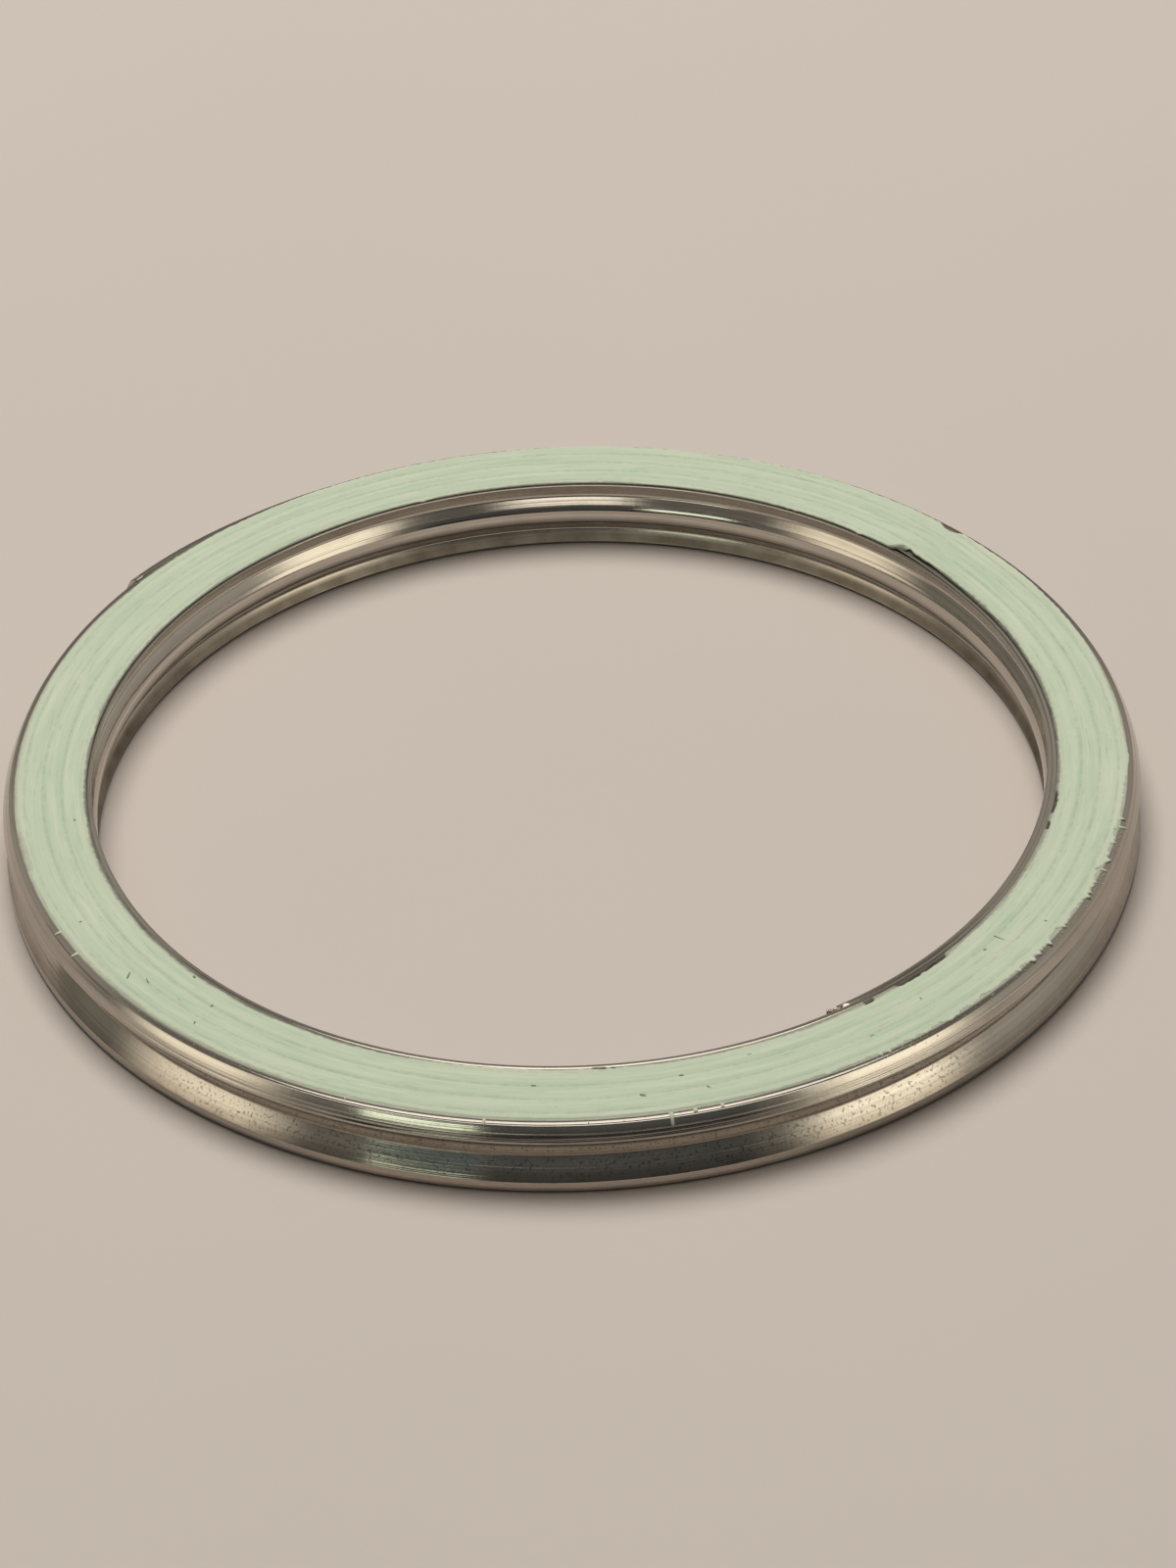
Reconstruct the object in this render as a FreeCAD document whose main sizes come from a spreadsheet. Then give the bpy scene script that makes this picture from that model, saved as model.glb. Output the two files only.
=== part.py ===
"""Spiral-wound exhaust gasket ring: steel strip, filler strip and the coats on its two faces.

The gasket lies flat, +Z up, its axis on Z and its lower face on Z = 0, in millimetres.
The strip is rolled to two crests with a waist between them and wound from the bore outwards,
counter-clockwise seen from above. Its first and last turns lie metal on metal.
"""
import FreeCAD
import Part
import os
from math import cos, radians, sin
from FreeCAD import Placement, Rotation, Vector

SIZES = {
    "bore_edge_radius": (25.78, "inner surface of the strip's first turn, at its edges"),
    "strip_width": (4.0, "edge to edge, along Z"),
    "strip_gauge": (0.25, "thickness of the metal"),
    "crest_reach": (0.42, "how far a crest stands out from the edges"),
    "crest_drop": (0.85, "from an edge to the crest beside it"),
    "waist_depth": (0.66, "how far the waist lies in from the crests"),
    "turn_gap": (0.05, "between turns that lie metal on metal"),
    "filler_thickness": (0.72, "of the tape between two turns"),
    "filler_clearance": (0.03, "between the tape and the metal, each side"),
    "filled_turns": (4, "turns wound with the tape between them"),
    "inner_end_angle": (-60, "where the strip starts, seen from above"),
    "step_angle": (42, "middle of the step over the tape's ends"),
    "step_spread": (28, "angle that the step takes"),
    "outer_end_angle": (144, "where the strip's last turn ends"),
    "coat_thickness": (0.1, "of the coat on each face"),
    "coat_setback": (0.12, "from the bare metal at the bore to the coat"),
    "rim_setback": (0.05, "from the coat's outer edge to the last turn"),
}
LEAST_ARC = 1e-6


def make_sheet(doc):
    """The driving dimensions, one to a row: name, value and what it is."""
    sheet = doc.addObject("Spreadsheet::Sheet", "Sizes")
    for row, (alias, (value, meaning)) in enumerate(SIZES.items(), start=1):
        sheet.set(f"A{row}", alias)
        sheet.set(f"B{row}", str(value))
        sheet.set(f"C{row}", meaning)
        sheet.setAlias(f"B{row}", alias)
    doc.recompute()
    return sheet


def direction(angle):
    """Unit vector in the plane of the ring at an angle in degrees."""
    return Vector(cos(radians(angle)), sin(radians(angle)), 0)


class Winding:
    """The spiral of the strip's inner surface at its edges, as arcs that meet in line.

    Half turns about two centres a quarter of the growth to each side of the axis give a spiral
    that grows by one metal turn each time round. Over the tape's ends every turn steps
    outward by the tape's thickness in two arcs, the first about a centre of its own with the
    turn's curve made gentler, the second with it made tighter.
    """

    def __init__(self, sheet):
        self.growth = sheet.strip_gauge + sheet.turn_gap
        self.pitch = sheet.strip_gauge + sheet.filler_thickness + 2 * sheet.filler_clearance
        self.step = self.pitch - self.growth
        self.turns = int(sheet.filled_turns)
        self.start = sheet.inner_end_angle
        self.middle = sheet.step_angle
        self.half_spread = sheet.step_spread / 2
        self.before = self.middle - self.half_spread
        self.after = self.middle + self.half_spread
        self.end = sheet.outer_end_angle + 360 * (self.turns + 1)
        self.first_radius = sheet.bore_edge_radius + self.growth / 2
        swing = self.step / (2 * (1 - cos(radians(self.half_spread))))
        axis = direction(self.before)
        self.near = axis * (-self.growth / 4)
        self.far = axis * (self.growth / 4)
        self.swing = swing
        self.to_centre = Vector(-self.growth / 4, -self.growth / 4, 0)
        self.out = self.near - axis * swing
        self.back = self.out + direction(self.middle) * (2 * swing * cos(radians(self.half_spread)))

    def sectors(self):
        """(centre, radius, from, to) of each arc, from the bore's end to the outer end."""
        first = self.first_radius
        found = [(self.far, first - self.growth / 2, self.start, self.before)]
        for turn in range(self.turns + 1):
            base = 360 * turn
            radius = first + turn * self.pitch
            half, full = base + self.before + 180, base + self.before + 360
            begin = base + (self.after if turn else self.before)
            found.append((self.near, radius, begin, half))
            found.append((self.far, radius + self.growth / 2, half, full))
            if turn < self.turns:
                peak = full + self.half_spread
                found.append((self.out, radius + self.growth + self.swing, full, peak))
                found.append((self.back, radius + self.pitch - self.swing, peak, base + 360 + self.after))
            else:
                found.append((self.near, radius + self.growth, full, self.end))
        return found

    def path(self, offset, begin, end, height):
        """The wire at a distance outside the strip's inner surface, between two angles."""
        edges = []
        for centre, radius, low, high in self.sectors():
            low, high = max(low, begin), min(high, end)
            if high - low > LEAST_ARC:
                span = [centre + direction(a) * (radius + offset) for a in (low, (low + high) / 2, high)]
                edges.append(Part.Arc(*[point + Vector(0, 0, height) for point in span]).toShape())
        return Part.Wire(edges)


def side_profile(sheet):
    """One side of the section, as (outward, up) points from the top edge to the bottom edge."""
    half = sheet.strip_width / 2
    upper = [(0, half), (sheet.crest_reach, half - sheet.crest_drop)]
    waist = [(sheet.crest_reach - sheet.waist_depth, 0)]
    return upper + waist + [(x, -z) for x, z in reversed(upper)]


def wound_section(sheet, winding, offset, thickness, begin, end):
    """A band of the strip's form and its own thickness, swept along the winding."""
    height = sheet.coat_thickness + sheet.strip_width / 2
    path = winding.path(offset, begin, end, height)
    side = side_profile(sheet)
    outline = side + [(x + thickness, z) for x, z in reversed(side)]
    first_point = path.Edges[0].Vertexes[0]
    corners = [first_point.Point + direction(begin) * x + Vector(0, 0, z) for x, z in outline]
    section = Part.makePolygon(corners + corners[:1])
    sweep = Part.BRepOffsetAPI.MakePipeShell(path)
    sweep.setBiNormalMode(Vector(0, 0, 1))
    sweep.add(section, first_point)
    sweep.build()
    sweep.makeSolid()
    return sweep.shape()


def add_wound(doc, name, shape, winding):
    """A wound sub-part with its own label, set so that the ring's box is centred on Z."""
    feature = doc.addObject("Part::Feature", name)
    feature.Label = name
    feature.Shape = shape
    feature.Placement = Placement(winding.to_centre, Rotation())
    return feature


def make_steel_strip(doc, sheet, winding):
    """The whole strip, one piece from the bore's end to the outer end."""
    shape = wound_section(sheet, winding, 0, sheet.strip_gauge, winding.start, winding.end)
    return add_wound(doc, "steel_strip", shape, winding)


def make_filler_strip(doc, sheet, winding):
    """The tape, wound on the outside of the strip from the first step to the last."""
    offset = sheet.strip_gauge + sheet.filler_clearance
    last = winding.before + 360 * winding.turns
    shape = wound_section(sheet, winding, offset, sheet.filler_thickness, winding.after, last)
    return add_wound(doc, "filler_strip", shape, winding)


GROWTH = "(Sizes.strip_gauge + Sizes.turn_gap)"
PITCH = "(Sizes.strip_gauge + Sizes.filler_thickness + 2 * Sizes.filler_clearance)"
FIRST_RADIUS = f"Sizes.bore_edge_radius + {GROWTH} / 2"
BARE_RADIUS = f"{FIRST_RADIUS} + Sizes.strip_gauge + Sizes.coat_setback"
RIM_RADIUS = f"{FIRST_RADIUS} + Sizes.filled_turns * {PITCH} - Sizes.rim_setback"
STEP_START = "(Sizes.step_angle - Sizes.step_spread / 2)"


def bind(item, **bound):
    """Tie properties to the sheet; a double underscore stands for a dot."""
    for name, formula in bound.items():
        item.setExpression(name.replace("__", "."), formula)
    return item


def add_sector(doc, name, side, radius, start, angle):
    """A slice of a round plate about one of the winding's two centres."""
    slice_ = doc.addObject("Part::Cylinder", name)
    slice_.Placement = Placement(Vector(0, 0, 0), Rotation(Vector(0, 0, 1), 1))
    return bind(
        slice_,
        Radius=radius,
        Height="Sizes.coat_thickness",
        Angle=angle,
        Placement__Base__x=f"{side} * {GROWTH} / 4 * cos({STEP_START} * 1 deg)",
        Placement__Base__y=f"{side} * {GROWTH} / 4 * sin({STEP_START} * 1 deg)",
        Placement__Rotation__Angle=start,
    )


def make_coating(doc, name, height):
    """A round plate less a hole that follows the bare turn at the bore, a step at its ends."""
    plate = bind(
        doc.addObject("Part::Cylinder", name + "_plate"),
        Radius=RIM_RADIUS,
        Height="Sizes.coat_thickness",
    )
    begin = "Sizes.step_angle"
    half = f"{STEP_START} + 180"
    full = STEP_START
    sectors = [
        add_sector(doc, name + "_first", -1, BARE_RADIUS, begin, "180 - Sizes.step_spread / 2"),
        add_sector(doc, name + "_second", 1, f"{BARE_RADIUS} + {GROWTH} / 2", half, "180"),
        add_sector(doc, name + "_third", -1, f"{BARE_RADIUS} + {GROWTH}", full, "Sizes.step_spread / 2"),
    ]
    hole = doc.addObject("Part::MultiFuse", name + "_hole")
    hole.Shapes = sectors
    coating = doc.addObject("Part::Cut", name)
    coating.Label = name
    coating.Base = plate
    coating.Tool = hole
    return bind(
        coating,
        Placement__Base__x=f"-{GROWTH} / 4",
        Placement__Base__y=f"-{GROWTH} / 4",
        Placement__Base__z=height,
    )


def check(doc, parts):
    """Stop before anything is written if an object failed."""
    for item in doc.Objects:
        if {"Invalid", "Error"} & set(item.State):
            raise RuntimeError(f"{item.Label} did not compute: {item.State}")
    for item in parts:
        if item.Shape.isNull() or not item.Shape.isValid():
            raise RuntimeError(f"{item.Label} has no valid shape")


def main():
    doc = FreeCAD.newDocument("gasket")
    sheet = make_sheet(doc)
    winding = Winding(sheet)
    parts = [
        make_steel_strip(doc, sheet, winding),
        make_filler_strip(doc, sheet, winding),
        make_coating(doc, "top_coating", "Sizes.coat_thickness + Sizes.strip_width"),
        make_coating(doc, "bottom_coating", "0"),
    ]
    doc.recompute()
    check(doc, parts)
    os.makedirs("parts", exist_ok=True)
    for item in parts:
        item.Shape.exportStep(f"parts/{item.Label}.step")
        print(item.Label, len(item.Shape.Solids), round(item.Shape.Volume, 3), item.Shape.BoundBox)


main()
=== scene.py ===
"""Spiral-wound exhaust gasket ring lying on a pale floor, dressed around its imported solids."""
import math

import bpy
import numpy as np
from mathutils import Matrix, Vector


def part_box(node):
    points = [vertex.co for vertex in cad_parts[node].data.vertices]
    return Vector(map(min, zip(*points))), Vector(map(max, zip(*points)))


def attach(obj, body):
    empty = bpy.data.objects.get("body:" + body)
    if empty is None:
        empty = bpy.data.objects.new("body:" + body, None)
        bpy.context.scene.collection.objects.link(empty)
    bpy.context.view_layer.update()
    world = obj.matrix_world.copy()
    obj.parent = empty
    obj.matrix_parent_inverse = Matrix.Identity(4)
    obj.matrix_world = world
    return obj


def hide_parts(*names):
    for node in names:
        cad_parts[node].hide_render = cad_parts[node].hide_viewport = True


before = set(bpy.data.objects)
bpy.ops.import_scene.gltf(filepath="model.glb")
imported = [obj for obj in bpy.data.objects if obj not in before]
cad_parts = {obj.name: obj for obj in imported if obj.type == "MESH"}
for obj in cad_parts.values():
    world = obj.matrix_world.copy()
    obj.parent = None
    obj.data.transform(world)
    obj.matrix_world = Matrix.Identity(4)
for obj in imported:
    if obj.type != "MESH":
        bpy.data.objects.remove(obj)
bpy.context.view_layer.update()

MM = 0.001
BODY = "root"

# Sizes of the winding, in millimetres and degrees, as the solids have them.
BORE_EDGE_RADIUS = 25.78
STRIP_GAUGE = 0.25
TURN_GAP = 0.05
FILLER_THICKNESS = 0.72
FILLER_CLEARANCE = 0.03
FILLED_TURNS = 4
INNER_END_ANGLE = -60
STEP_ANGLE = 42
STEP_SPREAD = 28
OUTER_END_ANGLE = 144
COAT_RADIUS = 30.0

STRIP_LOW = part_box("steel_strip")[0][2] / MM
STRIP_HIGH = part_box("steel_strip")[1][2] / MM
COAT_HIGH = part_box("top_coating")[1][2] / MM
COAT_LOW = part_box("bottom_coating")[0][2] / MM

GROWTH = STRIP_GAUGE + TURN_GAP
PITCH = STRIP_GAUGE + FILLER_THICKNESS + 2 * FILLER_CLEARANCE
STEP = PITCH - GROWTH
HALF_SPREAD = STEP_SPREAD / 2
STEP_START = STEP_ANGLE - HALF_SPREAD
STEP_END = STEP_ANGLE + HALF_SPREAD
FIRST_RADIUS = BORE_EDGE_RADIUS + GROWTH / 2
OUTER_END = OUTER_END_ANGLE + 360 * (FILLED_TURNS + 1)
CENTRE = np.array([-GROWTH / 4, -GROWTH / 4])

# The metal as it is seen: its edges look a little thicker than the sheet.
SEEN_GAUGE = 0.31

# How far the outermost turns are pressed in, by angle: most where the last turn doubles up. It
# grows along the strip, from nothing at its first turn to all of it at PRESSED_FROM degrees.
PRESSED = (
    (0, 0.165), (12, 0.22), (28, 0.37), (42, 0.49), (60, 0.515), (116, 0.51), (127, 0.36), (136, 0.14),
    (144, 0.0), (152, -0.01), (170, 0.005), (200, 0.015), (225, 0.015), (270, 0.065), (315, 0.135),
    (345, 0.155), (360, 0.165),
)
PRESSED_FROM = 1500


def unit(angle):
    """Unit vectors in the plane of the ring at angles in degrees."""
    turn = np.radians(angle)
    return np.stack([np.cos(turn), np.sin(turn)], axis=-1)


def by_angle(table, angle):
    """Value of a table of (angle, value) at angles in degrees."""
    angles, values = np.array(table).T
    return np.interp(np.asarray(angle) % 360, angles, values)


def winding(phi, outward):
    """Points at a distance outside the strip's inner surface, at angles counted along it."""
    swing = STEP / (2 * (1 - math.cos(math.radians(HALF_SPREAD))))
    axis = unit(STEP_START)
    near = -axis * GROWTH / 4
    far = axis * GROWTH / 4
    out = near - axis * swing
    back = out + unit(STEP_ANGLE) * (2 * swing * math.cos(math.radians(HALF_SPREAD)))
    phi = np.asarray(phi, dtype=float)
    turn = np.floor((phi - STEP_START) / 360)
    inside = phi - STEP_START - 360 * turn
    base = FIRST_RADIUS + turn * PITCH
    stepping = (turn >= 1) & (turn <= FILLED_TURNS) & (inside < STEP_SPREAD)
    leading = stepping & (inside < HALF_SPREAD)
    start = np.where(turn < 0, FIRST_RADIUS - GROWTH, base)
    start = np.where(turn > FILLED_TURNS, FIRST_RADIUS + FILLED_TURNS * PITCH + GROWTH, start)
    radius = np.where(inside < 180, start, start + GROWTH / 2)
    centre = np.where((inside < 180)[..., None], near, far)
    before = base - PITCH + GROWTH
    radius = np.where(stepping, np.where(leading, before + swing, base - swing), radius)
    centre = np.where(stepping[..., None], np.where(leading[..., None], out, back), centre)
    pressed = by_angle(PRESSED, phi) * np.clip(phi / PRESSED_FROM, 0, 1)
    return CENTRE + centre + unit(phi) * (radius + outward - pressed)[..., None]


def turn_radius(phi, outward):
    """Distance of the winding from the coat's centre."""
    place = winding(phi, outward) - CENTRE
    return np.hypot(place[..., 0], place[..., 1])


def on_last_turn(angle):
    """The angle counted along the strip at which the outermost turn passes an angle of 0 to 360."""
    return angle + np.where(angle < OUTER_END_ANGLE, 360 * (FILLED_TURNS + 1), 360 * FILLED_TURNS)


def smooth(low, high, value):
    """0 below low, 1 above high, and a smooth rise between."""
    part = np.clip((value - low) / (high - low), 0, 1)
    return part * part * (3 - 2 * part)


def window(value, rise, fall):
    """0 outside and 1 inside, with the spans over which it rises and falls."""
    return smooth(*rise, value) * (1 - smooth(*fall, value))


def hump(value, centre, width):
    """A smooth hump of height 1."""
    return np.exp(-((value - centre) / width) ** 2)


class Ripple:
    """Seeded smooth noise along an angle, the same each run."""

    def __init__(self, seed, waves, count=24):
        draw = np.random.default_rng(seed)
        self.turns = draw.integers(waves[0], waves[1], count)
        self.phase = draw.uniform(0, 2 * math.pi, count)
        self.part = draw.normal(0, 1, count) / math.sqrt(count / 2)

    def __call__(self, angle):
        turn = np.radians(np.asarray(angle, dtype=float))[..., None]
        return (np.sin(turn * self.turns + self.phase) * self.part).sum(axis=-1)


def new_mesh(name, points, faces, smooth_shading=True, **fields):
    """A mesh object from points in millimetres, with named values at its points."""
    mesh = bpy.data.meshes.new(name)
    mesh.from_pydata((np.asarray(points) * MM).tolist(), [], faces)
    for field, values in fields.items():
        values = np.asarray(values, dtype=np.float32)
        mesh.attributes.new(field, "FLOAT", "POINT").data.foreach_set("value", values)
    if smooth_shading:
        mesh.polygons.foreach_set("use_smooth", [True] * len(mesh.polygons))
    mesh.update()
    thing = bpy.data.objects.new(name, mesh)
    bpy.context.scene.collection.objects.link(thing)
    return thing


def grid_faces(rows, columns, close_rows=False, close_columns=False):
    """Quads of a grid of rows by columns, each way closed on itself if asked."""
    row = np.arange(rows if close_rows else rows - 1)
    column = np.arange(columns if close_columns else columns - 1)
    first, second = np.meshgrid(row, column, indexing="ij")
    after, beside = (first + 1) % rows, (second + 1) % columns
    corners = ((first, second), (after, second), (after, beside), (first, beside))
    quads = np.stack([line * columns + place for line, place in corners], axis=-1)
    return quads.reshape(-1, 4).tolist()


def tube_faces(rows, columns, first=0, order=1):
    """Faces of a tube of rows of points from a first one on, closed by a face at each end."""
    begin = list(range(columns))[::order]
    end = list(range((rows - 1) * columns, rows * columns))[::-order]
    faces = [*grid_faces(rows, columns, close_columns=True), begin, end]
    return [[first + point for point in face] for face in faces]


# How far beside a bend its point of support lies.
BESIDE_BEND = 0.025


def rounded(corners, bends, held=0):
    """A line through corners, each bend of (radius, steps) turned into an arc.

    The first bends, as many as held says, get a point of support to each side, which keeps the
    faces beside them flat.
    """
    line = [np.array(corners[0], dtype=float)]
    places = zip(corners, corners[1:], corners[2:], bends)
    for index, (before, corner, after, (radius, steps)) in enumerate(places):
        corner = np.array(corner, dtype=float)
        to_before = np.array(before) - corner
        to_after = np.array(after) - corner
        to_before /= np.linalg.norm(to_before)
        to_after /= np.linalg.norm(to_after)
        half = math.acos(np.clip(to_before @ to_after, -1, 1)) / 2
        middle = to_before + to_after
        centre = corner + middle / np.linalg.norm(middle) * radius / math.sin(half)
        begin = corner + to_before * radius / math.tan(half) - centre
        end = corner + to_after * radius / math.tan(half) - centre
        sweep = math.pi - 2 * half
        if index < held:
            line.append(centre + begin + to_before * BESIDE_BEND)
        for step in range(steps + 1):
            part = step / steps
            mix = (math.sin((1 - part) * sweep) * begin + math.sin(part * sweep) * end) / math.sin(sweep)
            line.append(centre + mix)
        if index < held:
            line.append(centre + end + to_after * BESIDE_BEND)
    line.append(np.array(corners[-1], dtype=float))
    return np.array(line)


# The strip's section with the bends that rolling leaves, as (outward, distance from the edge,
# radius, steps): from its upper edge down, the waist, and from its lower edge up. The FIRST
# tables hold for the hidden turns and the bore, the LAST ones for the outer wall.
FIRST_UPPER_BENDS = (
    (0.05, 0.08, 0.12, 2), (0.229, 0.39, 1.6, 3), (0.453, 0.94, 0.24, 5), (0.08, 1.42, 0.8, 2),
)
LAST_UPPER_BENDS = (
    (0.05, 0.08, 0.10, 2), (0.262, 0.44, 0.45, 3), (0.467, 0.90, 0.12, 5), (0.10, 1.42, 0.8, 2),
)
FIRST_WAIST = (-0.47, 2.05, 1.10, 8)
LAST_WAIST = (-0.29, 2.25, 0.16, 8)
FIRST_LOWER_BENDS = (
    (0.05, 0.08, 0.12, 2), (0.24, 0.36, 1.0, 2), (0.4645, 0.76, 0.16, 5), (0.08, 1.30, 0.8, 2),
)
LAST_LOWER_BENDS = (
    (0.515, 0.05, 0.06, 2), (0.55, 0.26, 0.15, 2), (0.52, 0.59, 0.14, 5), (0.09, 1.20, 1.0, 2),
)
# The last turn's lower edge is spread outward. The section changes from the first tables to the
# last between these angles along the strip.
SPREAD_FOOT = 0.46
SPREAD_FROM, SPREAD_TO = 1250, 1470


def strip_side(last=False):
    """One side of the section as (outward, up), from the upper edge to the lower."""
    if last:
        above, middle, below, foot = LAST_UPPER_BENDS, LAST_WAIST, LAST_LOWER_BENDS, SPREAD_FOOT
    else:
        above, middle, below, foot = FIRST_UPPER_BENDS, FIRST_WAIST, FIRST_LOWER_BENDS, 0
    upper = [(bend[0], STRIP_HIGH - bend[1]) for bend in (*above, middle)]
    lower = [(bend[0], STRIP_LOW + bend[1]) for bend in below[::-1]]
    bends = [bend[2:] for bend in (*above, middle, *below[::-1])]
    corners = [(0, STRIP_HIGH), *upper, *lower, (foot, STRIP_LOW)]
    return rounded(corners, bends, held=len(upper))


# The strip's cut edge from its inner corner to its outer one, a little rounded: (outward, drop).
CROWN = ((0.0, 0.02), (0.015, 0.005), (0.05, 0.002), (0.13, 0.008), (0.21, 0.027), (SEEN_GAUGE, 0.065))


def crowned(high, sign, shift=0.0):
    """The cut edge at a height as (outward, up): an upper one with sign 1, a lower with -1."""
    return [[x + shift, high - sign * drop] for x, drop in CROWN]


def strip_loop(last=False):
    """The closed section, over the upper edge, down the outside and up the inside, and its parts."""
    side = strip_side(last)
    runs = (
        ("edge", crowned(STRIP_HIGH, 1)),
        ("outer", (side + [SEEN_GAUGE, 0])[1:-1]),
        ("edge", crowned(STRIP_LOW, -1, SPREAD_FOOT if last else 0.0)[::-1]),
        ("inner", side[::-1][1:-1]),
    )
    part = [name for name, run in runs for _ in run]
    return np.concatenate([run for _, run in runs]), np.array(part)


# Fine steps where a turn is seen, coarse ones where the coat hides it: (from, to, stride).
HIDDEN_FROM, HIDDEN_TO = 420, 360 * FILLED_TURNS
STRIP_STRIDES = (
    (INNER_END_ANGLE, HIDDEN_FROM, 1.5), (HIDDEN_FROM, HIDDEN_TO, 8.0), (HIDDEN_TO, OUTER_END, 1.5),
)
# The strip isn't quite round: by how much, and over how many turns its waves are drawn out.
WOBBLE = 0.006
WOBBLE_TURNS = 5

# Where the wall gets a painted pale reflection of the floor, strongest at the front, where its sides are
# painted darker for the darker things they mirror, and where it is pitted, as the angles over which that
# begins and ends.
REFLECTION_FRONT = ((238, 252), (284, 300))
DARK_REFLECTION_SIDES = (((186, 196), (210, 222)), ((318, 328), (348, 358)))
PITTED = ((222, 230), (306, 316))
# The same by height: the foot ends over FOOT, the ledge under the upper crest lies in LEDGE.
FOOT = (0.56, 0.70)
LEDGE = ((1.95, 2.1), (2.4, 2.6))
# Painted dark bands along the wall at its bends, standing in for the shade and dark reflections there,
# as (height, width, darkness).
PAINTED_DARK_BANDS = ((1.83, 0.05, 0.95), (0.72, 0.04, 0.8), (2.95, 0.22, 0.9))


def strip_fields(phi, loop, part):
    """How dull and pitted the metal is at each of the strip's points, and how pale and how dark it is
    painted.
    """
    height = loop[:, 1]
    outside, inside = part == "outer", part == "inner"
    turn = (phi % 360)[:, None]
    # painted pale reflection of the floor on the outer foot and on the ledge under the upper crest,
    # strongest toward the front
    front = window(turn, *REFLECTION_FRONT)
    foot = 1 - smooth(*FOOT, height)
    ledge = window(height, *LEDGE)
    pale_and_painted_reflection = np.maximum(foot * (0.15 + 0.75 * front), 0.5 * ledge * (0.4 + 0.6 * front))
    # painted dark bands at the bends and darker sides, standing in for shade and the darker things the
    # wall mirrors
    painted_bands = sum(darkness * hump(height, level, width) for level, width, darkness in PAINTED_DARK_BANDS)
    sides = sum(window(turn, *span) for span in DARK_REFLECTION_SIDES)
    painted_shade = np.clip(np.maximum(painted_bands, 0.22 * sides * (1 - foot)), 0, 1)
    # pale carries the painted floor reflection; dark carries the painted shade outside, and inside makes
    # the wall darker toward its foot
    fields = {
        "dull": np.where(outside, 0.22 * foot, 0) + np.where(inside, 0.40 * foot, 0),
        "pale": np.where(outside, pale_and_painted_reflection, 0),
        "dark": np.where(inside, foot, np.where(outside, painted_shade, 0)),
        "pitted": window(turn, *PITTED),
    }
    shape = (len(phi), len(loop))
    return {name: np.broadcast_to(values, shape).ravel() for name, values in fields.items()}


def make_strip():
    """The whole strip with rounded bends, smooth along its length."""
    loop, part = strip_loop()
    last_loop, _ = strip_loop(last=True)
    runs = [np.linspace(low, high, int((high - low) / step) + 1) for low, high, step in STRIP_STRIDES]
    phi = np.unique(np.concatenate(runs))
    wobble = WOBBLE * Ripple(11, (4, 26))(phi / WOBBLE_TURNS)
    spread = smooth(SPREAD_FROM, SPREAD_TO, phi)
    points = []
    for (outward, height), (last_outward, last_height) in zip(loop, last_loop):
        place = winding(phi, outward + (last_outward - outward) * spread + wobble)
        points.append(np.column_stack([place, height + (last_height - height) * spread]))
    points = np.stack(points, axis=1).reshape(-1, 3)
    lengths = np.cumsum(np.linalg.norm(np.diff(loop, axis=0, prepend=loop[:1]), axis=1))
    return new_mesh(
        "wound_strip", points, tube_faces(len(phi), len(loop)),
        along=np.repeat(np.radians(phi) * FIRST_RADIUS, len(loop)),
        across=np.tile(lengths, len(phi)),
        **strip_fields(phi, last_loop, part),
    )


# The tape's edges lie below the metal's, and its sides just off the metal.
FILLER_SUNK = 0.1
FILLER_OFF_METAL = 0.01
FILLER_ROWS = 480
# What stands out farther than this gives way where the turns are pressed in.
FILLER_PRESSED_BEYOND = 0.6


def make_filler():
    """The tape between the turns, its edges just below the metal's."""
    side = strip_side()[::2]
    middle = (STRIP_HIGH + STRIP_LOW) / 2
    side[:, 1] = middle + (side[:, 1] - middle) * (1 - 2 * FILLER_SUNK / (STRIP_HIGH - STRIP_LOW))
    near = SEEN_GAUGE + FILLER_OFF_METAL
    far = STRIP_GAUGE + FILLER_CLEARANCE + FILLER_THICKNESS - FILLER_OFF_METAL
    loop = np.array([*(side + [near, 0]), *(side[::-1] + [far, 0])])
    phi = np.linspace(STEP_END, STEP_START + 360 * FILLED_TURNS, FILLER_ROWS)
    squeeze = by_angle(PRESSED, phi) * (360 / PRESSED_FROM)
    points = []
    for outward, height in loop:
        inward = squeeze if outward > FILLER_PRESSED_BEYOND else 0
        points.append(np.column_stack([winding(phi, outward - inward), np.full(len(phi), height)]))
    points = np.stack(points, axis=1).reshape(-1, 3)
    return new_mesh("filler_tape", points, tube_faces(len(phi), len(loop)))


# The coat's edges where the photograph shows them, as (angle, radius in coat radii).
INNER_EDGE = (
    (0, 0.885), (38, 0.885), (40.5, 0.887), (42.0, 0.895), (43.0, 0.894), (44.2, 0.875), (46, 0.871),
    (47.5, 0.871), (49, 0.8665), (50.5, 0.871), (60, 0.871), (90, 0.874), (106, 0.8745), (108, 0.8695),
    (110, 0.8745), (120, 0.875), (150, 0.878), (180, 0.880), (200, 0.884), (240, 0.884), (250, 0.882),
    (260, 0.879), (270, 0.8795), (280, 0.884), (300, 0.886), (345, 0.886), (360, 0.885),
)
OUTER_EDGE = (
    (0, 1.0015), (39.4, 1.001), (40.4, 0.992), (41.2, 0.988), (42, 0.991), (43, 1.0), (190, 1.001),
    (191.5, 0.9955), (196.5, 0.995), (197.5, 1.002), (200, 1.001), (294, 1.001), (302, 1.003),
    (330, 1.002), (350, 1.001), (355, 1.008), (358, 1.003), (360, 1.002),
)
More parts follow.
